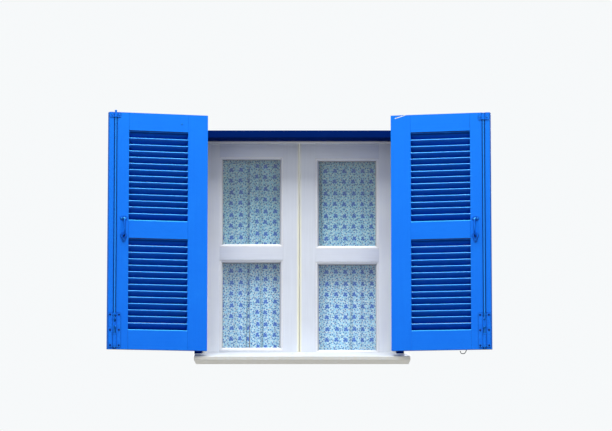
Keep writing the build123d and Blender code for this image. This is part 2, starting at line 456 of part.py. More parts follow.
def sash(side, S):
    tag = "left" if side < 0 else "right"
    pre = tag + "_sash_"
    xo, xi = side * SASH_OUT_X, side * SASH_IN_X
    po, pi_ = side * (PANE_OUT_X + MOULD_W), side * (PANE_IN_X - MOULD_W)
    z0, z1 = S["z0"], S["z1"]
    ten = (SASH_Y0 + 14, SASH_Y0 + 28)
    hs = fillet(box(xo, po, SASH_Y0, SASH_Y1, z0, z1).edges().filter_by(Axis.Z), radius=1.5)
    ms = fillet(box(pi_, xi, SASH_Y0, SASH_Y1, z0, z1).edges().filter_by(Axis.Z), radius=1.5)
    rails = {"top_rail": (S["up1"] + MOULD_W, z1), "middle_rail": (S["lo1"] + MOULD_W, S["up0"] - MOULD_W),
             "bottom_rail": (z0, S["lo0"] - MOULD_W)}
    made = {}
    for nm, (a, b) in rails.items():
        r = box(po, pi_, SASH_Y0, SASH_Y1, a, b)
        m = min(8.0, (b - a) * 0.25)
        t1 = box(po + side * 45, po - side * 0.5, ten[0], ten[1], a + m, b - m)
        t2 = box(pi_ - side * 45, pi_ + side * 0.5, ten[0], ten[1], a + m, b - m)
        made[nm] = r + t1 + t2
        hs -= box(po + side * 45, po - side * 1, ten[0], ten[1], a + m, b - m)
        ms -= box(pi_ - side * 45, pi_ + side * 1, ten[0], ten[1], a + m, b - m)
    xa, xb = sorted((po, pi_))
    beads, panes = [], []
    for (b, t) in ((S["lo0"], S["lo1"]), (S["up0"], S["up1"])):
        za, zb = b - MOULD_W, t + MOULD_W
        beads.append(ring(xa, xb, za, zb, SASH_Y0 + 2.5, GLASS_Y, 7.0, MOULD_W))
        beads.append(ring(xa, xb, za, zb, GLASS_Y + GLASS_T, GLASS_Y + GLASS_T + 12.0, MOULD_W - 3.0, 9.0))
        panes.append(box(xa + 1, xb - 1, GLASS_Y, GLASS_Y + GLASS_T, za + 1, zb - 1))
    made["glazing_beads"] = group(beads)
    made["glass"] = group(panes)
    made["hinge_leaves"] = group(sash_leaves[side])
    # net rod on two brackets, room side of the top rail
    dz = 0.0 if side < 0 else -6.0
    rz = CURTAIN_ROD_Z + dz
    rod = cyl_x(CURTAIN_ROD_Y, rz, *sorted((side * 462.0, side * 24.0)), CURTAIN_ROD_R)
    brs = []
    for x in (side * 460.0, side * 26.0):
        bp = box(x - 6, x + 6, SASH_Y1, SASH_Y1 + 2.5, rz - 14, rz + 14)
        st = box(x - 3, x + 3, SASH_Y1 + 2, CURTAIN_ROD_Y + 7.0, rz - 7.5, rz + 7.5)
        hole = cyl_x(CURTAIN_ROD_Y, rz, x - 7, x + 7, CURTAIN_ROD_R)
        brs.append(bp + st - hole)
    made["curtain_rod"] = group([rod] + brs)
    # curtain: closed soft block just under the rod
    cur = box(side * 452.0, side * 34.0, CURTAIN_Y0, CURTAIN_Y1, z0 + 34.0, rz - 9.0)
    made["curtain"] = fillet(cur.edges().filter_by(Axis.Z), radius=8.0)
    if side < 0:
        strip = Pos(0, 0, z0 + 4) * extrude(make_face(Polyline(
            (-SASH_IN_X, STRIP_Y0), (-1.0, STRIP_Y0), (-0.1, STRIP_Y0 + 14), (-0.1, SASH_Y1 - 3),
            (-SASH_IN_X, SASH_Y1 - 3), close=True)), amount=z1 - z0 - 8)
        made["weather_strip"] = strip
    else:
        # the meeting edge is planed at a slope and stands closest to the other sash on the room side
        ms += Pos(0, 0, z0) * extrude(make_face(Polyline((SASH_IN_X + 0.5, SASH_Y0 + 2), (SASH_IN_X, SASH_Y0 + 2),
                                                         (SLOPE_X, SASH_Y1 - 1), (SLOPE_X, SASH_Y1),
                                                         (SASH_IN_X + 0.5, SASH_Y1), close=True)), amount=z1 - z0)
        # turn button that holds the two sashes shut: spindle in the meeting stile, button upright when released
        bxp, bz = 22.0, 552.0
        ms -= cyl_y(bxp, bz, SASH_Y1 - 22.0, SASH_Y1 + 1, 3.05)
        spindle = cyl_y(bxp, bz, SASH_Y1 - 20.0, SASH_Y1 + 3, 3.0)
        blade = extrude(Plane(origin=(bxp, SASH_Y1 + 0.6, bz), x_dir=(1, 0, 0), z_dir=(0, 1, 0)) *
                        Rot(0, 0, 90) * SlotOverall(62.0, 16.0), amount=5.0)
        grip = cyl_y(bxp, bz, SASH_Y1 + 5, SASH_Y1 + 17, 7.0)
        keep("sash_turn_button", spindle + blade + grip)
    made["hinge_stile"] = hs
    made["meeting_stile"] = ms
    for k, v in made.items():
        keep(pre + k, v)


sash(-1, SASH_L)
sash(1, SASH_R)

for name, shape in NODES.items():
    export_step(shape, "parts/" + name + ".step")
print(len(NODES), "nodes")
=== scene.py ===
import math
import random

import bpy
import numpy as np
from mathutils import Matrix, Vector


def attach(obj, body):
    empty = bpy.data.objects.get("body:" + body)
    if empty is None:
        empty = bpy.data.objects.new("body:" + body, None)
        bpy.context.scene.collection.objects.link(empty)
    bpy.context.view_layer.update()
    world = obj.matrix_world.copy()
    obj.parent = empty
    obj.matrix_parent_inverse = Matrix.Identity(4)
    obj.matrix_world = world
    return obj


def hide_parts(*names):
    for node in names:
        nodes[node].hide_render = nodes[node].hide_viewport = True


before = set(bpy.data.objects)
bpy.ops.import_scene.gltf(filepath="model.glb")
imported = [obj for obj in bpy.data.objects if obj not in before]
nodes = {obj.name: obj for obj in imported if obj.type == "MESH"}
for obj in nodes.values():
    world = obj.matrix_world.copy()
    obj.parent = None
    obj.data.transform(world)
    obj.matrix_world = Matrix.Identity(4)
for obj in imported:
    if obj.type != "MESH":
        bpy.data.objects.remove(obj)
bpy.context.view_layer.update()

scene = bpy.context.scene

# ------------------------------------------------------------------ camera
cam_data = bpy.data.cameras.new("view")
cam_data.sensor_width = 36.0
cam_data.sensor_fit = "HORIZONTAL"
cam_data.lens = 176.47
cam_data.clip_start, cam_data.clip_end = 0.1, 200.0
cam = bpy.data.objects.new("view", cam_data)
cam.location = (0.034, -14.91, -1.046)
cam.rotation_euler = (math.radians(96.8), 0.0, 0.0)
scene.collection.objects.link(cam)
scene.camera = cam

# ------------------------------------------------------------------ node helpers


class Mat:
    """A principled material and short calls to add nodes to it."""

    def __init__(self, name, rough=0.5, spec=0.5):
        self.m = bpy.data.materials.new(name)
        self.m.use_nodes = True
        self.t = self.m.node_tree
        self.t.nodes.clear()
        self.out = self.t.nodes.new("ShaderNodeOutputMaterial")
        self.b = self.t.nodes.new("ShaderNodeBsdfPrincipled")
        self.b.inputs["Roughness"].default_value = rough
        self.b.inputs["Specular IOR Level"].default_value = spec
        self.t.links.new(self.b.outputs[0], self.out.inputs["Surface"])
        self._obj = None

    def new(self, kind, **props):
        n = self.t.nodes.new(kind)
        for k, v in props.items():
            setattr(n, k, v)
        return n

    def put(self, value, socket):
        if isinstance(value, bpy.types.NodeSocket):
            self.t.links.new(value, socket)
        else:
            socket.default_value = value

    def obj(self):
        if self._obj is None:
            self._obj = self.new("ShaderNodeTexCoord").outputs["Object"]
        return self._obj

    def uv(self, name):
        n = self.new("ShaderNodeUVMap")
        n.uv_map = name
        return n.outputs[0]

    def math(self, op, a, b=None, c=None, clamp=False):
        n = self.new("ShaderNodeMath", operation=op, use_clamp=clamp)
        for i, v in enumerate((a, b, c)):
            if v is not None:
                self.put(v, n.inputs[i])
        return n.outputs[0]

    def vec(self, op, a, b=None, out=0):
        n = self.new("ShaderNodeVectorMath", operation=op)
        self.put(a, n.inputs[0])
        if b is not None:
            self.put(b, n.inputs[1])
        return n.outputs[out]

    def xyz(self, v):
        n = self.new("ShaderNodeSeparateXYZ")
        self.put(v, n.inputs[0])
        return n.outputs[0], n.outputs[1], n.outputs[2]

    def join(self, x, y, z=0.0):
        n = self.new("ShaderNodeCombineXYZ")
        for i, v in enumerate((x, y, z)):
            self.put(v, n.inputs[i])
        return n.outputs[0]

    def turn(self, v, rot_z=0.0, scale=(1, 1, 1), loc=(0, 0, 0)):
        n = self.new("ShaderNodeMapping", vector_type="POINT")
        self.put(v, n.inputs[0])
        n.inputs[1].default_value = loc
        n.inputs[2].default_value = (0, 0, rot_z)
        n.inputs[3].default_value = scale
        return n.outputs[0]

    def noise(self, v, scale, detail=2.0, rough=0.5, warp=0.0):
        n = self.new("ShaderNodeTexNoise")
        self.put(v, n.inputs["Vector"])
        n.inputs["Scale"].default_value = scale
        n.inputs["Detail"].default_value = detail
        n.inputs["Roughness"].default_value = rough
        n.inputs["Distortion"].default_value = warp
        return n.outputs[0]

    def cells(self, v, scale, randomness=1.0, feature="F1", dims="3D", out="Distance"):
        n = self.new("ShaderNodeTexVoronoi", feature=feature, voronoi_dimensions=dims)
        self.put(v, n.inputs["Vector"])
        n.inputs["Scale"].default_value = scale
        n.inputs["Randomness"].default_value = randomness
        return n.outputs[out]

    def span(self, v, a, b, lo=0.0, hi=1.0, smooth=True):
        n = self.new("ShaderNodeMapRange", clamp=True,
                     interpolation_type="SMOOTHSTEP" if smooth else "LINEAR")
        self.put(v, n.inputs[0])
        n.inputs[1].default_value, n.inputs[2].default_value = a, b
        n.inputs[3].default_value, n.inputs[4].default_value = lo, hi
        return n.outputs[0]

    def blend(self, f, a, b, how="MIX"):
        n = self.new("ShaderNodeMix", data_type="RGBA", blend_type=how, clamp_factor=True)
        self.put(f, n.inputs[0])
        for v, s in ((a, n.inputs[6]), (b, n.inputs[7])):
            self.put(v if isinstance(v, bpy.types.NodeSocket) else (*v, 1.0), s)
        return n.outputs[2]

    def crease(self, dist, samples=6):
        n = self.new("ShaderNodeAmbientOcclusion", samples=samples)
        n.inputs["Distance"].default_value = dist
        return n.outputs["AO"]

    def bump(self, h, dist, strength=1.0, after=None):
        n = self.new("ShaderNodeBump")
        n.inputs["Strength"].default_value = strength
        n.inputs["Distance"].default_value = dist
        self.put(h, n.inputs["Height"])
        if after is not None:
            self.put(after, n.inputs["Normal"])
        return n.outputs[0]

    def end(self, colour=None, rough=None, normal=None):
        if colour is not None:
            self.put(colour, self.b.inputs["Base Color"])
        if rough is not None:
            self.put(rough, self.b.inputs["Roughness"])
        if normal is not None:
            self.put(normal, self.b.inputs["Normal"])
        return self.m


def brushed(m, p, along, seed, reach=1.0):
    """Brush marks and telegraphed grain that run along one axis of p: broad, middle and fine, each 0 to 1."""
    s_mid = [150.0, 150.0, 150.0]
    s_fine = [620.0, 620.0, 620.0]
    s_mid["xyz".index(along)] = 4.0
    s_fine["xyz".index(along)] = 11.0
    off = (seed * 1.37, seed * 0.71, seed * 2.13)
    broad = m.noise(m.turn(p, 0, (1, 1, 1), off), 4.5 * reach, 3.0, 0.55)
    mid = m.noise(m.turn(p, 0, s_mid, off), 1.0, 3.0, 0.6, 0.15)
    fine = m.noise(m.turn(p, 0, s_fine, off), 1.0, 2.0, 0.6)
    return broad, mid, fine


# axes of the two shutter leaves as they are stored: u across from the hinge edge, z up
LEAF_TURN = {"left": math.radians(165.0), "right": math.radians(13.0), None: 0.0}


def blue_paint(name, leaf, along, seed, light=(0.0060, 0.225, 0.995), dark=(0.0028, 0.178, 0.930),
               rough=0.40, spec=0.14, chip=None, z_top_light_and_fade=(0.05, 1.22), crease_shade_to=0.55, under=0.0, ior=1.5,
               crease=0.014, ao_range=(0.35, 0.95), caps=()):
    m = Mat(name, rough, spec)
    m.b.inputs["IOR"].default_value = ior
    p = m.turn(m.obj(), LEAF_TURN[leaf])
    broad, mid, fine = brushed(m, p, along, seed)
    x, y, z = m.xyz(p)
    tone = m.math("ADD", m.math("MULTIPLY", broad, 0.55), m.math("MULTIPLY", mid, 0.45))
    tone = m.span(tone, 0.30, 0.70)
    # lighter towards the top: partly sun-fade, partly painted light from above
    top_light_and_fade = m.span(z, z_top_light_and_fade[0], z_top_light_and_fade[1], 0.0, 1.0, False)
    tone = m.math("ADD", m.math("MULTIPLY", tone, 0.40), m.math("MULTIPLY", top_light_and_fade, 0.60), clamp=True)
    colour = m.blend(tone, dark, light)
    # darker in the corners and creases: painted shade
    ao = m.crease(crease)
    crease_shade = m.span(ao, *ao_range, crease_shade_to, 0.0)
    deep = tuple(c * k for c, k in zip(dark, (0.5, 0.28, 0.38)))
    colour = m.blend(crease_shade, colour, deep)
    _, _, nz = m.xyz(m.new("ShaderNodeNewGeometry").outputs["Normal"])
    shut = m.math("MULTIPLY", nz, 0.0)
    if under == 0 and leaf is not None:
        # painted highlight on the upward-facing arrises
        arris = m.math("MULTIPLY", m.span(nz, 0.10, 0.45, 0.0, 0.55), m.span(nz, 0.80, 0.94, 1.0, 0.0))
        colour = m.blend(arris, colour, (0.060, 0.60, 1.0))
        # painted shade on the lower edges that face down
        colour = m.blend(m.span(nz, -0.40, -0.85, 0.0, 0.92), colour, (0.0008, 0.026, 0.150))
    if under > 0:
        # painted shade on the faces that look down
        _, ny, _ = m.xyz(m.new("ShaderNodeTexCoord").outputs["Normal"])
        colour = m.blend(m.span(nz, -0.25, -0.62, 0.0, under), colour, deep)
        # painted highlight on the rounded room-side edges that face up
        nose = m.math("MULTIPLY", m.span(nz, 0.25, 0.62, 0.0, 0.95), m.span(ny, 0.10, 0.45, 1.0, 0.0))
        nose = m.math("MULTIPLY", nose, m.span(ao, 0.45, 0.72))
        for top in caps:
            # painted shadow of the rail on the blade tucked up under it, which also loses its highlight
            tucked = m.math("MULTIPLY", m.span(z, top - 0.014, top - 0.009), m.span(z, top + 0.002, top + 0.004, 1.0, 0.0))
            nose = m.math("MULTIPLY", nose, m.math("SUBTRACT", 1.0, tucked))
            colour = m.blend(m.math("MULTIPLY", tucked, 0.80), colour, (0.0006, 0.020, 0.130))
            shut = m.math("MAXIMUM", shut, tucked)
        colour = m.blend(nose, colour, (0.060, 0.60, 1.0))
    # the gloss is cut in the creases, on the undersides and under the rails: painted shade on the reflections
    gloss = m.math("MULTIPLY", m.span(nz, -0.80, -0.30, 0.25, 1.0), m.span(ao, 0.45, 0.85, 0.10, 1.0))
    gloss = m.math("MULTIPLY", gloss, m.math("MULTIPLY_ADD", shut, -0.95, 1.0))
    m.put(m.math("MULTIPLY", gloss, spec), m.b.inputs["Specular IOR Level"])
    # a faint dusty film in patches
    film = m.span(m.noise(p, 11.0, 4.0, 0.62), 0.58, 0.80, 0.0, 0.07)
    colour = m.blend(film, colour, tuple(min(1.0, 1.5 * c + 0.02) for c in light))
    height = m.math("ADD", m.math("MULTIPLY", mid, 0.6), m.math("MULTIPLY", fine, 0.4))
    if chip is not None:
        mask, depth = chip(m, p)
        edge = m.math("MULTIPLY", m.span(mask, 0.35, 0.6), m.span(mask, 0.6, 0.95, 1.0, 0.0))
        colour = m.blend(m.span(mask, 0.45, 0.62), colour, (0.86, 0.90, 0.90))
        colour = m.blend(m.math("MULTIPLY", edge, 0.35), colour, (0.35, 0.33, 0.22))
        height = m.math("SUBTRACT", height, m.math("MULTIPLY", m.span(mask, 0.45, 0.6), depth))
    n = m.bump(height, 0.00035, 0.55)
    wave = m.noise(p, 26.0, 2.0, 0.5)
    n = m.bump(wave, 0.0022, 0.35, n)
    r = m.math("ADD", m.math("MULTIPLY", m.math("ADD", mid, broad), 0.10), rough - 0.10)
    return m.end(colour, r, n)


def chip_right(m, p):
    # a long flake missing at the hinge-side top corner of the right leaf; u0 is the hinge edge in the turned axes
    x, y, z = m.xyz(p)
    c, s = math.cos(LEAF_TURN["right"]), math.sin(LEAF_TURN["right"])
    ax, ay = 0.484, -0.065
    a = math.radians(167.0)
    dx, dy = 0.502 - ax, -0.053 - ay
    hx, hy = ax + dx * math.cos(a) - dy * math.sin(a), ay + dx * math.sin(a) + dy * math.cos(a)
    u0 = c * hx - s * hy
    u = m.math("SUBTRACT", x, u0)
    w = m.math("SUBTRACT", z, 0.046)
    wob = m.math("MULTIPLY", m.math("SUBTRACT", m.noise(p, 160.0, 3.0, 0.6), 0.5), 0.0042)
    (ua, wa), (ub, wb) = (0.024, 1.1605), (0.078, 1.1755)
    lu, lw = ub - ua, wb - wa
    ll = lu * lu + lw * lw
    t = m.math("DIVIDE", m.math("ADD", m.math("MULTIPLY", m.math("SUBTRACT", u, ua), lu),
                                m.math("MULTIPLY", m.math("SUBTRACT", w, wa), lw)), ll, clamp=True)
    du = m.math("SUBTRACT", u, m.math("MULTIPLY_ADD", t, lu, ua))
    dw = m.math("SUBTRACT", w, m.math("MULTIPLY_ADD", t, lw, wa))
    d = m.math("SQRT", m.math("ADD", m.math("MULTIPLY", du, du), m.math("MULTIPLY", dw, dw)))
    half = m.math("MULTIPLY_ADD", t, -0.0008, 0.0023)
    mask = m.span(m.math("SUBTRACT", m.math("ADD", d, wob), half), 0.0012, -0.0012, 0.0, 1.0, False)
    return m.math("MULTIPLY", mask, m.span(y, 0.007, 0.011, 1.0, 0.0)), 1.6


def white_paint(name, along, seed, light=(0.80, 0.835, 0.92), dark=(0.73, 0.765, 0.86), yellow=None,
                rough=0.42, spec=0.4, grime_and_shade_to=0.60, reveal=0.0,
                top=1.0):
    m = Mat(name, rough, spec)
    p = m.obj()
    broad, mid, fine = brushed(m, p, along, seed)
    tone = m.span(m.math("ADD", m.math("MULTIPLY", broad, 0.6), m.math("MULTIPLY", mid, 0.4)), 0.32, 0.68)
    colour = m.blend(tone, dark, light)
    x, y, z = m.xyz(p)
    if top < 1.0:
        # the upper part is painted darker: painted shade under the frame head
        colour = m.blend(m.span(z, 0.48, 0.70), colour, m.blend(1.0, colour, (top, top, top), "MULTIPLY"))
    if yellow is not None:
        x0, x1 = yellow
        side = m.span(x, x0, x1, 0.0, 1.0) if x1 > x0 else m.span(x, x1, x0, 1.0, 0.0)
        blot = m.span(m.noise(m.turn(p, 0, (60.0, 60.0, 6.0)), 1.0, 3.0, 0.6), 0.35, 0.75, 0.65, 1.0)
        # the stain runs down the arris, strongest at the foot, and stops inside the joint
        side = m.math("MULTIPLY", side, m.span(z, 0.50, 1.08, 1.0, 0.35))
        side = m.math("MULTIPLY", side, m.span(y, 0.150, 0.160, 1.0, 0.10))
        colour = m.blend(m.math("MULTIPLY", side, blot), colour, (0.93, 0.915, 0.70))
    # darker in the creases, in patches: partly dust, partly painted shade
    ao = m.crease(0.010)
    grime_and_shade = m.math("MULTIPLY", m.span(ao, 0.30, 0.92, grime_and_shade_to, 0.0),
                   m.span(m.noise(p, 55.0, 3.0, 0.6), 0.30, 0.70, 0.45, 1.0))
    colour = m.blend(grime_and_shade, colour, (0.36, 0.37, 0.36))
    if reveal > 0:
        # painted shadow under the upper beads and along their sides
        nx, _, nz = m.xyz(m.new("ShaderNodeNewGeometry").outputs["Normal"])
        shade = m.math("MAXIMUM", m.span(nz, -0.35, -0.80, 0.0, reveal),
                       m.span(m.math("ABSOLUTE", nx), 0.45, 0.85, 0.0, 0.55 * reveal))
        shade = m.math("MULTIPLY", shade, m.span(y, 0.1505, 0.1535, 0.12, 1.0))
        colour = m.blend(shade, colour, (0.07, 0.09, 0.11))
    spots = m.span(m.noise(p, 34.0, 5.0, 0.7), 0.66, 0.80, 0.0, 0.18)
    colour = m.blend(spots, colour, (0.60, 0.60, 0.56))
    height = m.math("ADD", m.math("MULTIPLY", mid, 0.6), m.math("MULTIPLY", fine, 0.4))
    n = m.bump(height, 0.00030, 0.5)
    n = m.bump(m.noise(p, 30.0, 2.0, 0.5), 0.0016, 0.3, n)
    r = m.math("ADD", m.math("MULTIPLY", m.math("ADD", mid, broad), 0.09), rough - 0.09)
    return m.end(colour, r, n)


def sill_paint():
    m = Mat("sill_paint", 0.5, 0.4)
    p = m.obj()
    broad, mid, fine = brushed(m, p, "x", 5)
    colour = m.blend(m.span(broad, 0.35, 0.65), (0.63, 0.67, 0.70), (0.69, 0.73, 0.76))
    x, y, z = m.xyz(p)
    # run-off stains the nose grey-cream. The underside is given a lighter colour than the sill, painted light against
    # its shade, mottled with cream drip stains
    front = m.math("MULTIPLY", m.span(y, -0.0985, -0.0955, 1.0, 0.0), m.span(z, 0.021, 0.015, 0.0, 1.0))
    under = m.span(z, 0.0006, 0.0001, 0.0, 1.0)
    drip = m.noise(m.turn(p, 0, (42.0, 42.0, 5.0)), 1.0, 4.0, 0.65)
    drops = m.span(drip, 0.25, 0.70, 0.35, 1.0)
    colour = m.blend(m.math("MULTIPLY", front, drops), colour, (0.68, 0.67, 0.62))
    colour = m.blend(under, colour, m.blend(drops, (0.90, 0.90, 0.87), (0.80, 0.77, 0.68)))
    # darker in the creases: painted shade
    ao = m.crease(0.018)
    colour = m.blend(m.span(ao, 0.30, 0.90, 0.45, 0.0), colour, (0.42, 0.40, 0.35))
    specks = m.span(m.noise(p, 130.0, 3.0, 0.6), 0.68, 0.76, 0.0, 0.35)
    colour = m.blend(specks, colour, (0.48, 0.46, 0.40))
    n = m.bump(m.math("ADD", m.math("MULTIPLY", mid, 0.5), m.math("MULTIPLY", fine, 0.5)), 0.0003, 0.5)
    n = m.bump(m.noise(p, 22.0, 3.0, 0.55), 0.003, 0.35, n)
    r = m.math("MULTIPLY_ADD", m.noise(p, 18.0, 3.0, 0.5), 0.25, 0.38)
    return m.end(colour, r, n)


def iron_paint(name, seed, light, dark, rough=0.34, spec=0.4, lump=1.0, painted_light=0.0,
               low=None, flank=0.0, front=(-0.70, -0.95)):
    # thick brush coat over iron: rounded, slightly lumpy, with painted highlights and shade
    m = Mat(name, rough, spec)
    p = m.obj()
    a = m.noise(m.turn(p, 0, (1, 1, 1), (seed, seed * 0.3, seed * 1.7)), 60.0, 3.0, 0.55)
    b = m.noise(p, 420.0, 2.0, 0.5)
    colour = m.blend(m.span(a, 0.3, 0.7), dark, light)
    # darker in the creases: painted shade
    ao = m.crease(0.008)
    colour = m.blend(m.span(ao, 0.40, 0.98, 0.95, 0.0), colour, tuple(0.08 * c for c in dark))
    if flank > 0:
        # painted highlight on the bar's front and painted shade along its sides
        nx, ny, _ = m.xyz(m.new("ShaderNodeTexCoord").outputs["Normal"])
        colour = m.blend(m.span(ny, *front, 0.0, 0.45), colour, (0.018, 0.37, 1.0))
        colour = m.blend(m.span(m.math("ABSOLUTE", nx), 0.50, 0.85, 0.0, flank), colour, tuple(0.10 * c for c in dark))
    if low is not None:
        _, _, z = m.xyz(p)
        colour = m.blend(m.span(z, 0.335, 0.325, 0.0, 1.0), colour, low)
    if painted_light > 0:
        # painted highlight on the upper roundings, painted shade under the lower ones
        _, _, nz = m.xyz(m.new("ShaderNodeNewGeometry").outputs["Normal"])
        colour = m.blend(m.span(nz, -0.15, -0.60, 0.0, 0.85), colour, tuple(0.12 * c for c in dark))
        colour = m.blend(m.span(nz, 0.15, 0.60, 0.0, painted_light), colour, (0.10, 0.62, 1.0))
    n = m.bump(m.math("MULTIPLY_ADD", b, 0.25, a), 0.0009 * lump, 0.5)
    r = m.math("MULTIPLY_ADD", b, 0.16, rough - 0.08)
    return m.end(colour, r, n)


def bare_steel(name, seed, tint=(0.62, 0.62, 0.61), dark=(0.42, 0.42, 0.41)):
    m = Mat(name, 0.35, 0.5)
    m.b.inputs["Metallic"].default_value = 1.0
    p = m.obj()
    scratch = m.noise(m.turn(p, 0, (900.0, 900.0, 40.0), (seed, 0, 0)), 1.0, 2.0, 0.5)
    patch = m.noise(p, 90.0, 4.0, 0.6)
    colour = m.blend(m.span(patch, 0.35, 0.70), tint, dark)
    n = m.bump(scratch, 0.00012, 0.4)
    r = m.math("MULTIPLY_ADD", patch, 0.25, 0.22)
    return m.end(colour, r, n)


def enamel_white():
    m = Mat("rod_enamel", 0.3, 0.5)
    p = m.obj()
    a = m.noise(p, 75.0, 3.0, 0.5)
    colour = m.blend(m.span(a, 0.3, 0.7), (0.78, 0.78, 0.76), (0.86, 0.86, 0.85))
    n = m.bump(m.noise(p, 300.0, 2.0, 0.5), 0.0003, 0.3)
    return m.end(colour, m.math("MULTIPLY_ADD", a, 0.15, 0.24), n)


def foam_strip():
    m = Mat("yellowed_foam", 0.8, 0.3)
    p = m.obj()
    cell = m.cells(p, 900.0)
    a = m.noise(m.turn(p, 0, (30.0, 30.0, 7.0)), 1.0, 4.0, 0.6)
    # the foam's yellow is lifted close to white: partly its own colour, partly painted light against the shade of the
    # joint
    colour = m.blend(m.span(a, 0.3, 0.7), (0.95, 0.94, 0.72), (1.0, 0.99, 0.84))
    return m.end(colour, m.span(a, 0.0, 1.0, 0.72, 0.92), m.bump(cell, 0.0006, 0.6))


def float_glass():
    m = Mat("float_glass", 0.015, 0.14)
    p = m.obj()
    m.b.inputs["Transmission Weight"].default_value = 1.0
    m.b.inputs["IOR"].default_value = 1.45
    m.b.inputs["Base Color"].default_value = (0.97, 0.993, 0.995, 1.0)
    # slight waves of drawn glass and a thin film of dust in patches
    wave = m.noise(m.turn(p, 0, (1.0, 1.0, 0.35)), 9.0, 2.0, 0.5)
    m.put(m.bump(wave, 0.0006, 0.12), m.b.inputs["Normal"])
    dust = m.span(m.noise(p, 48.0, 4.0, 0.65), 0.45, 0.85, 0.0, 0.010)
    m.put(dust, m.b.inputs["Roughness"])
    clear = m.new("ShaderNodeBsdfTransparent")
    clear.inputs[0].default_value = (0.94, 0.98, 0.985, 1.0)
    mix = m.new("ShaderNodeMixShader")
    rays = m.new("ShaderNodeLightPath")
    m.t.links.new(rays.outputs["Is Shadow Ray"], mix.inputs[0])
    m.t.links.new(m.b.outputs[0], mix.inputs[1])
    m.t.links.new(clear.outputs[0], mix.inputs[2])
    m.t.links.new(mix.outputs[0], m.out.inputs["Surface"])
    return m.m


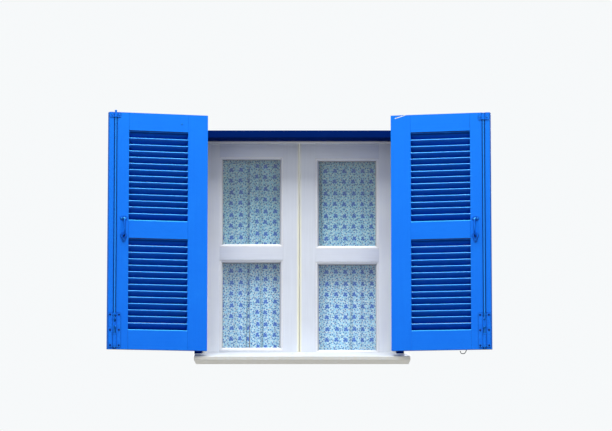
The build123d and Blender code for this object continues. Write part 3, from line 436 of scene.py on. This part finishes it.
def printed_voile(name, shift):
    """Thin printed cotton: ground weave, navy sprigs on a half-drop grid, paler dots and leaves between."""
    m = Mat(name, 0.85, 0.06)
    uv = m.uv("flat")
    u, v, _ = m.xyz(uv)
    # the upper part is painted darker and greener than the lower: painted shade under the frame head
    painted_light = m.span(v, 0.36, 0.72, 0.0, 1.0)
    u = m.math("ADD", u, shift[0])
    v = m.math("ADD", v, shift[1])
    pu, pv = 0.0490, 0.0575
    cu, cv = m.math("DIVIDE", u, pu), m.math("DIVIDE", v, pv)
    tall = m.math("MODULO", m.math("ABSOLUTE", m.math("FLOOR", cu)), 2.0)
    cv = m.math("ADD", cv, m.math("MULTIPLY", tall, 0.030))
    row = m.math("FLOOR", cv)
    odd = m.math("MODULO", m.math("ABSOLUTE", row), 2.0)
    cu = m.math("ADD", cu, m.math("MULTIPLY", odd, 0.06))
    col = m.math("FLOOR", cu)
    flip = m.math("MODULO", m.math("ABSOLUTE", m.math("ADD", row, col)), 2.0)
    sgn = m.math("MULTIPLY_ADD", flip, -2.0, 1.0)
    wobble = m.noise(m.join(u, v), 420.0, 2.0, 0.5)
    lu = m.math("MULTIPLY", m.math("MULTIPLY", m.math("SUBTRACT", m.math("SUBTRACT", cu, col), 0.5), pu * 1000), sgn)
    lv = m.math("MULTIPLY", m.math("SUBTRACT", m.math("SUBTRACT", cv, row), 0.5), pv * 1000)
    lv = m.math("ADD", lv, m.math("MULTIPLY", m.math("SUBTRACT", odd, 0.5), 3.2))

    def petal(cx, cy, rx, ry, deg):
        a = math.radians(deg)
        dx, dy = m.math("SUBTRACT", lu, cx), m.math("SUBTRACT", lv, cy)
        ex = m.math("ADD", m.math("MULTIPLY", dx, math.cos(a) / rx), m.math("MULTIPLY", dy, math.sin(a) / rx))
        ey = m.math("ADD", m.math("MULTIPLY", dx, -math.sin(a) / ry), m.math("MULTIPLY", dy, math.cos(a) / ry))
        return m.math("SQRT", m.math("ADD", m.math("MULTIPLY", ex, ex), m.math("MULTIPLY", ey, ey)))

    def nearest(items):
        d = petal(*items[0])
        for it in items[1:]:
            d = m.math("MINIMUM", d, petal(*it))
        return m.math("ADD", d, m.math("MULTIPLY", m.math("SUBTRACT", wobble, 0.5), 0.40))

    flower = nearest([(-6.2, 4.6, 6.0, 4.8, 32), (0.0, -1.0, 6.4, 5.8, -20), (6.6, 4.4, 5.9, 4.6, -38),
                      (3.2, -7.5, 5.2, 4.3, 66), (-5.1, -5.7, 4.8, 3.9, 15)])
    heart = nearest([(0.0, -0.4, 1.5, 1.3, 0)])
    leaf = nearest([(-15.0, 13.0, 3.8, 1.9, 55), (14.0, -13.0, 4.0, 1.9, 48), (16.0, 15.0, 3.5, 1.7, -50),
                    (-13.0, -16.0, 3.6, 1.9, -44), (0.5, 17.5, 3.4, 1.7, 85), (-20.0, 0.0, 3.2, 1.6, 80),
                    (8.0, -21.5, 3.4, 1.7, 10), (-4.5, 22.5, 3.2, 1.7, -20)])
    dots = m.cells(m.join(u, v), 1.0 / 0.0134, 1.0, dims="2D")
    crumbs = m.cells(m.join(m.math("ADD", u, 3.1), m.math("ADD", v, 1.7)), 1.0 / 0.0112, 1.0, dims="2D")
    away = m.span(flower, 1.10, 1.5)
    ground = m.blend(m.span(m.noise(m.join(u, v), 34.0, 3.0, 0.55), 0.3, 0.7), (0.40, 0.72, 0.95), (0.48, 0.81, 1.0))
    c = m.blend(m.math("MULTIPLY", m.span(crumbs, 0.22, 0.36, 0.90, 0.0), away), ground, (0.93, 1.0, 1.0))
    c = m.blend(m.math("MULTIPLY", m.span(dots, 0.19, 0.27, 0.95, 0.0), away), c, (0.020, 0.16, 0.52))
    c = m.blend(m.math("MULTIPLY", m.span(leaf, 0.75, 1.15, 0.72, 0.0), away), c, (0.055, 0.17, 0.50))
    c = m.blend(m.span(flower, 0.80, 1.15, 0.95, 0.0), c, (0.004, 0.125, 0.66))
    c = m.blend(m.span(heart, 0.7, 1.2, 0.6, 0.0), c, (0.16, 0.34, 0.70))
    # darker and greener towards the top: painted shade under the frame head
    c = m.blend(1.0, c, m.blend(painted_light, (0.71, 0.85, 0.83), (1.0, 1.0, 1.0)), "MULTIPLY")
    # painted shade in the hollows of the folds
    c = m.blend(m.span(m.crease(0.018, 8), 0.60, 0.94, 0.90, 0.0), c, m.blend(1.0, c, (0.36, 0.46, 0.52), "MULTIPLY"))
    # weave: over and under threads 0.45 mm apart
    wu = m.math("SINE", m.math("MULTIPLY", u, 2 * math.pi / 0.00090))
    wv = m.math("SINE", m.math("MULTIPLY", v, 2 * math.pi / 0.00090))
    weave = m.math("MULTIPLY", wu, wv)
    slub = m.noise(m.join(m.math("MULTIPLY", u, 900.0), m.math("MULTIPLY", v, 40.0)), 1.0, 2.0, 0.5)
    thread = m.math("MULTIPLY_ADD", weave, 0.5, slub)
    c = m.blend(m.span(slub, 0.35, 0.7, 0.0, 0.10), c, (0.30, 0.42, 0.46))
    n = m.bump(thread, 0.00012, 0.5)
    n = m.bump(m.noise(m.join(u, v), 38.0, 3.0, 0.5), 0.0015, 0.35, n)
    m.b.inputs["Sheen Weight"].default_value = 0.04
    m.b.inputs["Sheen Roughness"].default_value = 0.5
    m.end(c, None, n)
    thin = m.new("ShaderNodeBsdfTranslucent")
    m.put(c, thin.inputs["Color"])
    m.put(n, thin.inputs["Normal"])
    mix = m.new("ShaderNodeMixShader")
    mix.inputs[0].default_value = 0.15
    m.t.links.new(m.b.outputs[0], mix.inputs[1])
    m.t.links.new(thin.outputs[0], mix.inputs[2])
    m.t.links.new(mix.outputs[0], m.out.inputs["Surface"])
    return m.m


# ------------------------------------------------------------------ materials on the CAD nodes
def top_of(name):
    o = nodes[name]
    return max((o.matrix_world @ v.co).z for v in o.data.vertices)


paint = {}
for side in ("left", "right"):
    k = 1 if side == "left" else 2
    paint[side, "v"] = blue_paint(f"{side}_leaf_upright_paint", side, "z", 3 * k, crease_shade_to=0.97, crease=0.009,
                                  ao_range=(0.55, 0.995))
    paint[side, "chip"] = blue_paint(f"{side}_leaf_hinge_stile_paint", side, "z", 3 * k + 1,
                                     chip=chip_right if side == "right" else None)
    paint[side, "h"] = blue_paint(f"{side}_leaf_rail_paint", side, "x", 3 * k + 2)
    paint[side, "slat"] = blue_paint(f"{side}_leaf_louvre_paint", side, "x", 3 * k + 7, rough=0.27, spec=0.34,
                                     crease_shade_to=0.95, under=0.80, crease=0.022,
                                     caps=(top_of(f"{side}_shutter_upper_louvres"), top_of(f"{side}_shutter_lower_louvres")))
# the handles' azure is darker than the leaves': painted shade
ironwork = iron_paint("ironwork_azure", 1.0, (0.005, 0.155, 0.84), (0.002, 0.105, 0.66), 0.34, 0.10, 1.0, 0.8,
                      flank=0.60, front=(-0.974, -0.994))
bolt_iron = iron_paint("bolt_rod_azure", 2.0, (0.006, 0.200, 0.96), (0.003, 0.155, 0.86), 0.32, 0.20, 0.6,
                       flank=0.85)
hinge_iron = iron_paint("hinge_azure", 3.0, (0.006, 0.150, 0.72), (0.003, 0.100, 0.55), 0.38)
plate_iron = iron_paint("bolt_plate_azure", 7.0, (0.006, 0.215, 0.98), (0.003, 0.165, 0.88), 0.36, 0.14, 1.0, 0.30)
# the screws' azure is lighter than the leaves', a painted highlight; those low on the leaf are given navy
screw_iron = iron_paint("screw_azure", 4.0, (0.020, 0.300, 0.98), (0.006, 0.200, 0.90), 0.34, 0.12, 0.4,
                        low=(0.001, 0.020, 0.140))
hook_iron = iron_paint("hook_dark_iron", 5.0, (0.045, 0.043, 0.040), (0.020, 0.019, 0.018), 0.40, 0.5, 0.5)
# the frame takes the leaves' azure darkened to navy, its reflection damped: painted shade of the wall's opening, which
# is not built
frame_v = blue_paint("frame_upright_paint", None, "z", 20, light=(0.0012, 0.017, 0.150), dark=(0.0008, 0.010, 0.100),
                     rough=0.50, spec=0.10, ior=1.12)
frame_h = blue_paint("frame_head_paint", None, "x", 21, light=(0.0006, 0.016, 0.140), dark=(0.0004, 0.008, 0.085),
                     rough=0.50, spec=0.06, ior=1.10)
# one white sash paint in lighter and darker copies: the uprights, beads and stop beads are given lighter, the rails
# and meeting stiles darker, painted light and shade
sash_v = white_paint("sash_upright_paint", "z", 31, light=(0.91, 0.955, 1.0), dark=(0.845, 0.89, 0.975), top=0.88)
sash_h = white_paint("sash_rail_paint", "x", 32, light=(0.745, 0.795, 0.885), dark=(0.68, 0.725, 0.815))
sash_ml = white_paint("left_meeting_paint", "z", 33, light=(0.735, 0.785, 0.87), dark=(0.67, 0.715, 0.80),
                      yellow=(-0.0160, -0.0065), grime_and_shade_to=0.10)
sash_mr = white_paint("right_meeting_paint", "z", 34, light=(0.735, 0.785, 0.87), dark=(0.67, 0.715, 0.80),
                      yellow=(0.0150, 0.0055), grime_and_shade_to=0.10)
bead_paint = white_paint("bead_paint", "x", 35, light=(0.86, 0.885, 0.93), dark=(0.80, 0.82, 0.87), rough=0.38, grime_and_shade_to=0.95,
                         reveal=0.8)
stop_paint = white_paint("stop_bead_paint", "x", 36, light=(0.96, 0.95, 0.94), dark=(0.93, 0.92, 0.91))
steel = bare_steel("hinge_zinc", 6.0)
enamel, foam, glass, sill_mat = enamel_white(), foam_strip(), float_glass(), sill_paint()


def material_for(n):
    if n == "window_sill":
        return sill_mat
    if n == "frame_head":
        return frame_h
    if n.startswith("frame_jamb"):
        return frame_v
    if n == "stop_beads":
        return stop_paint
    if n == "shutter_pintles":
        return hinge_iron
    if n == "pintle_screws" or n.endswith("_shutter_screws"):
        return screw_iron
    if n in ("right_stay_hook", "right_stay_eye"):
        return hook_iron
    if n == "sash_hinge_jamb_leaves" or n.endswith("_hinge_leaves") or n == "sash_turn_button":
        return steel
    if n.endswith("_curtain_rod"):
        return enamel
    if n.endswith("_glass"):
        return glass
    if n.endswith("_weather_strip"):
        return foam
    if n.endswith("_glazing_beads"):
        return bead_paint
    if n == "left_sash_meeting_stile":
        return sash_ml
    if n == "right_sash_meeting_stile":
        return sash_mr
    if "_sash_" in n:
        return sash_v if n.endswith("_stile") else sash_h
    if n.endswith(("_top_bolt", "_bottom_bolt")):
        return bolt_iron
    side = "left" if n.startswith("left") else "right"
    if n.endswith("_louvres"):
        return paint[side, "slat"]
    if n.endswith(("_bolt_guide", "_bolt_housing")):
        return plate_iron
    if n.endswith("_hinge_stile"):
        return paint[side, "chip"]
    if n.endswith("_meeting_stile"):
        return paint[side, "v"]
    if n.endswith("_rail"):
        return paint[side, "h"]
    if n.endswith("_hinge_straps"):
        return hinge_iron
    return ironwork


for name, o in nodes.items():
    mat = material_for(name)
    if not o.material_slots:
        o.data.materials.append(mat)
    for s in o.material_slots:
        s.material = mat

# ------------------------------------------------------------------ curtains
GRID = 0.0023


def smooth_noise(rng, n, knots):
    ks = np.array([rng.uniform(-1, 1) for _ in range(knots + 3)])
    t = np.linspace(0, knots, n)
    i = np.clip(t.astype(int), 0, knots - 1)
    f = t - i
    f = f * f * (3 - 2 * f)
    return ks[i] * (1 - f) + ks[i + 1] * f


def curtain(name, body, node, x0, x1, z_rod, z_hem, y_mid, folds, seed, mat, y_shift=(0.0, 0.0),
            edge_low=(0.0, 0.0), flat_hint=1.16):
    """A sheet gathered on a rod: pocket round the rod, fine puckers under it that run into a few long folds, hem.
    folds: (place from 0 to 1, height in m towards the viewer, width in m, drift). Every row keeps the same cloth width."""
    rng = random.Random(seed)
    width = x1 - x0
    # the sheet's path in the Y-Z plane, from the pocket's back to the hem's end, by length along the cloth
    path = []
    r_p = 0.0068
    y_rod = 0.205
    path += [(y_rod + 0.0045, z_rod - 0.019), (y_rod + 0.0056, z_rod - 0.011)]
    for k in range(0, 13):
        a = math.radians(k * 15.0)
        path.append((y_rod + r_p * math.cos(a), z_rod + r_p * math.sin(a)))
    path += [(y_rod - 0.0056, z_rod - 0.011), (y_rod + 0.0026, z_rod - 0.019)]
    z = z_rod - 0.026
    while z > z_hem + 0.022:
        path.append((y_mid, z))
        z -= 0.0085
    path += [(y_mid, z_hem + 0.018), (y_mid, z_hem + 0.009), (y_mid, z_hem + 0.002), (y_mid + 0.0008, z_hem + 0.0002),
             (y_mid + 0.0016, z_hem + 0.002), (y_mid + 0.0018, z_hem + 0.009), (y_mid + 0.0016, z_hem + 0.017)]
    path = np.array(path)
    run = np.concatenate([[0], np.cumsum(np.hypot(*np.diff(path, axis=0).T))])
    n_cols = int(width * flat_hint / GRID) + 1

    def slopes(flat, row_z, drop):
        s = np.linspace(0, flat, n_cols)
        q = s / flat
        pucker = np.sin(2 * math.pi * s / 0.0150 + 2.2 * smooth_noise(random.Random(seed + 5), n_cols, 9)) \
            * (0.75 + 0.35 * smooth_noise(random.Random(seed + 6), n_cols, 14))
        low = np.zeros(n_cols)
        t = (z_rod - row_z) / (z_rod - z_hem)
        for (c, h, w, drift) in folds:
            cc = c + drift * (t - 0.5)
            hh = h * (0.85 + 0.3 * math.sin(3.1 * t + 9.0 * c))
            low += -hh * np.exp(-(((q - cc) * flat) / w) ** 2)
        low += 0.0022 * np.sin(2 * math.pi * (s / 0.043) + 5.0 * smooth_noise(random.Random(seed + 8), n_cols, 5)
                               + 1.6 * t) * (0.6 + 0.5 * smooth_noise(random.Random(seed + 9), n_cols, 7))
        low += 0.0026 * smooth_noise(random.Random(seed + 10), n_cols, 6) * (0.7 + 0.5 * t)
        ds = s[1] - s[0]
        fine = math.exp(-drop / 0.050)
        mixw = 1.0 - math.exp(-drop / 0.075)
        g = mixw * np.gradient(low, ds) + fine * 0.0026 * np.gradient(pucker, ds)
        return s, g

    def span_of(s, g, k):
        gg = np.clip(k * g, -0.93, 0.93)
        dx = np.sqrt(1 - gg ** 2)
        x = np.concatenate([[0], np.cumsum((dx[1:] + dx[:-1]) / 2 * (s[1] - s[0]))])
        y = np.concatenate([[0], np.cumsum((gg[1:] + gg[:-1]) / 2 * (s[1] - s[0]))])
        return x, y

    # the cut's width: so that the middle row's folds fill the space with their stated height
    lo, hi = width * 1.001, width * 2.2
    for _ in range(40):
        mid = (lo + hi) / 2
        s, g = slopes(mid, (z_rod + z_hem) / 2, 0.5)
        if span_of(s, g, 1.0)[0][-1] < width:
            lo = mid
        else:
            hi = mid
    flat_w = (lo + hi) / 2
    verts, uvs = [], []
    rows = len(path)
    for j in range(rows):
        yy, zz = path[j]
        drop = max(0.0, z_rod - 0.012 - zz) if j > 8 else 0.0
        t = (z_rod - zz) / (z_rod - z_hem)
        s, g = slopes(flat_w, zz, drop)
        low = max(0.0, min(1.0, (0.42 - zz) / 0.30)) ** 1.3
        a, b = x0 + edge_low[0] * low, x1 + edge_low[1] * low
        target = b - a
        k0, k1 = 0.0, 6.0
        for _ in range(34):
            k = (k0 + k1) / 2
            if span_of(s, g, k)[0][-1] > target:
                k0 = k
            else:
                k1 = k
        x, y = span_of(s, g, (k0 + k1) / 2)
        x = x * (target / x[-1])
        trend = np.linspace(y[0], y[-1], len(y))
        y = y - trend
        y = y - (y.max() + y.min()) / 2
        # the gathered cloth takes no more depth than it has
        reach = max(y.max(), -y.min())
        room = 0.0021 if drop == 0 else min(0.0118, 0.0021 + 0.16 * drop)
        if reach > room:
            y = y * (room / reach)
        q = s / flat_w
        near = y_shift[0] * np.exp(-(q / 0.10) ** 2) + y_shift[1] * np.exp(-((1 - q) / 0.10) ** 2)
        grow = min(1.0, drop / 0.06)
        sag = 0.0012 * smooth_noise(random.Random(seed + 21), len(s), 4) if j >= rows - 8 else 0.0
        if j <= 16:
            # round the rod the puckers go in and out from the rod's own line
            c = np.array([y_rod, z_rod])
            d = np.array([yy, zz]) - c
            L = np.hypot(*d)
            d = d / L
            rad = L + np.abs(y) * 0.9
            vy, vz = c[0] + d[0] * rad, c[1] + d[1] * rad
            for i in range(len(s)):
                verts.append((a + x[i], vy[i], vz[i]))
        else:
            for i in range(len(s)):
                sg = sag[i] if hasattr(sag, "__len__") else 0.0
                verts.append((a + x[i], yy + y[i] + grow * near[i], zz + sg))
        for i in range(len(s)):
            uvs.append((s[i], run[j]))
    nc = n_cols
    faces = [(j * nc + i, j * nc + i + 1, (j + 1) * nc + i + 1, (j + 1) * nc + i)
             for j in range(rows - 1) for i in range(nc - 1)]
    me = bpy.data.meshes.new(name)
    me.from_pydata(verts, [], faces)
    layer = me.uv_layers.new(name="flat")
    idx = np.zeros(len(me.loops), dtype=np.int32)
    me.loops.foreach_get("vertex_index", idx)
    layer.data.foreach_set("uv", np.array(uvs, dtype=np.float32)[idx].ravel())
    me.polygons.foreach_set("use_smooth", [True] * len(me.polygons))
    me.materials.append(mat)
    o = bpy.data.objects.new(name, me)
    scene.collection.objects.link(o)
    shell = o.modifiers.new("thickness", "SOLIDIFY")
    shell.thickness = 0.0004
    shell.offset = 0.0
    shell.use_rim = True
    shell.use_even_offset = False
    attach(o, body)
    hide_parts(node)
    print(name, "flat width", round(flat_w, 4), "length", round(float(run[-1]), 4), "faces", len(faces))
    return o


voile_a = printed_voile("printed_voile_left", (0.010, 0.004))
voile_b = printed_voile("printed_voile_right", (0.031, 0.022))
# left sash: two widths that meet, the right one lapping in front until it parts near the foot
curtain("left_curtain_outer", "left_sash", "left_sash_curtain", -0.4515, -0.2465, 1.085, 0.071,
        0.2068, [(0.10, 0.0060, 0.015, 0.02), (0.36, 0.0064, 0.018, -0.03), (0.66, 0.0062, 0.015, 0.02),
                 (0.90, -0.0040, 0.011, 0.0)], 11, voile_a, y_shift=(0.0, 0.0035), edge_low=(0.0, -0.0068))
curtain("left_curtain_inner", "left_sash", "left_sash_curtain", -0.2520, -0.0345, 1.085, 0.070,
        0.2050, [(0.175, 0.0105, 0.012, 0.03), (0.280, -0.0098, 0.0095, 0.03), (0.47, 0.0050, 0.018, -0.02),
                 (0.60, -0.0052, 0.012, 0.02), (0.80, 0.0066, 0.017, 0.0)], 12, voile_b, y_shift=(-0.0030, 0.0),
        edge_low=(0.0034, 0.0))
# right sash: one width
curtain("right_curtain", "right_sash", "right_sash_curtain", 0.0345, 0.4515, 1.079, 0.064,
        0.2058, [(0.10, 0.0066, 0.014, 0.01), (0.185, -0.0092, 0.011, 0.01), (0.30, 0.0056, 0.020, 0.02),
                 (0.43, 0.0052, 0.018, 0.02), (0.555, -0.0094, 0.012, -0.03), (0.665, 0.0100, 0.012, -0.03),
                 (0.79, -0.0070, 0.012, 0.0), (0.90, 0.0064, 0.014, 0.0)], 13, voile_a)

# ------------------------------------------------------------------ stage and light
me = bpy.data.meshes.new("floor")
me.from_pydata([(-14, -20, -2.6), (14, -20, -2.6), (14, 20, -2.6), (-14, 20, -2.6)], [], [(0, 1, 2, 3)])
fm = Mat("floor_plaster", 0.8, 0.2)
fp = fm.obj()
fm.end(fm.blend(fm.noise(fp, 1.2, 4.0, 0.5), (0.72, 0.73, 0.74), (0.78, 0.79, 0.80)), None,
       fm.bump(fm.noise(fp, 40.0, 3.0, 0.5), 0.001, 0.3))
seen = fm.new("ShaderNodeLightPath").outputs["Is Camera Ray"]
fm.put(fm.math("MULTIPLY", seen, 0.36), fm.b.inputs["Emission Strength"])
fm.b.inputs["Emission Color"].default_value = (0.96, 0.98, 1.0, 1.0)
me.materials.append(fm.m)
floor = bpy.data.objects.new("floor", me)
scene.collection.objects.link(floor)


def area(name, loc, aim, size, power, colour=(1, 1, 1), spread=180.0):
    d = bpy.data.lights.new(name, "AREA")
    d.shape = "RECTANGLE"
    d.size, d.size_y = size
    d.energy = power
    d.color = colour
    d.spread = math.radians(spread)
    o = bpy.data.objects.new(name, d)
    o.location = loc
    o.rotation_euler = (Vector(aim) - Vector(loc)).to_track_quat("-Z", "Y").to_euler()
    scene.collection.objects.link(o)
    return o


area("key", (-0.1, -2.3, 6.4), (0.0, 0.0, 0.6), (5.6, 3.0), 168.0, (1.0, 1.0, 1.0), 90.0)
area("room", (0.8, 7.0, 3.2), (0.0, 0.2, 0.5), (4.0, 3.0), 90.0, (1.0, 0.99, 0.97), 90.0)

world = bpy.data.worlds.new("studio")
world.use_nodes = True
scene.world = world
wt = world.node_tree
wt.nodes.clear()
w_out = wt.nodes.new("ShaderNodeOutputWorld")
w_seen, w_light = wt.nodes.new("ShaderNodeBackground"), wt.nodes.new("ShaderNodeBackground")
w_seen.inputs[0].default_value = (0.955, 0.975, 0.985, 1.0)
w_seen.inputs[1].default_value = 0.97
tc = wt.nodes.new("ShaderNodeTexCoord")
sp = wt.nodes.new("ShaderNodeSeparateXYZ")
wt.links.new(tc.outputs["Generated"], sp.inputs[0])


def wmath(op, a, b, clamp=False):
    n = wt.nodes.new("ShaderNodeMath")
    n.operation, n.use_clamp = op, clamp
    for i, v in enumerate((a, b)):
        if isinstance(v, bpy.types.NodeSocket):
            wt.links.new(v, n.inputs[i])
        else:
            n.inputs[i].default_value = v
    return n.outputs[0]


# a bright wall of soft light in front and to the sides above the horizon, dim behind and below
above = wmath("GREATER_THAN", sp.outputs[2], 0.0)
ring = wmath("SUBTRACT", 1.0, wmath("MULTIPLY", sp.outputs[2], sp.outputs[2]))
ahead = wmath("ADD", wmath("MULTIPLY", sp.outputs[1], -0.44), 0.63)
level = wmath("MULTIPLY", wmath("MULTIPLY", ring, ahead), wmath("ADD", wmath("MULTIPLY", above, 0.95), 0.05))
w_light.inputs[0].default_value = (1.0, 1.0, 1.0, 1.0)
wt.links.new(level, w_light.inputs[1])
lp = wt.nodes.new("ShaderNodeLightPath")
wm = wt.nodes.new("ShaderNodeMixShader")
wt.links.new(lp.outputs["Is Camera Ray"], wm.inputs[0])
wt.links.new(w_light.outputs[0], wm.inputs[1])
wt.links.new(w_seen.outputs[0], wm.inputs[2])
wt.links.new(wm.outputs[0], w_out.inputs[0])

scene.view_settings.view_transform = "Standard"
scene.view_settings.look = "None"
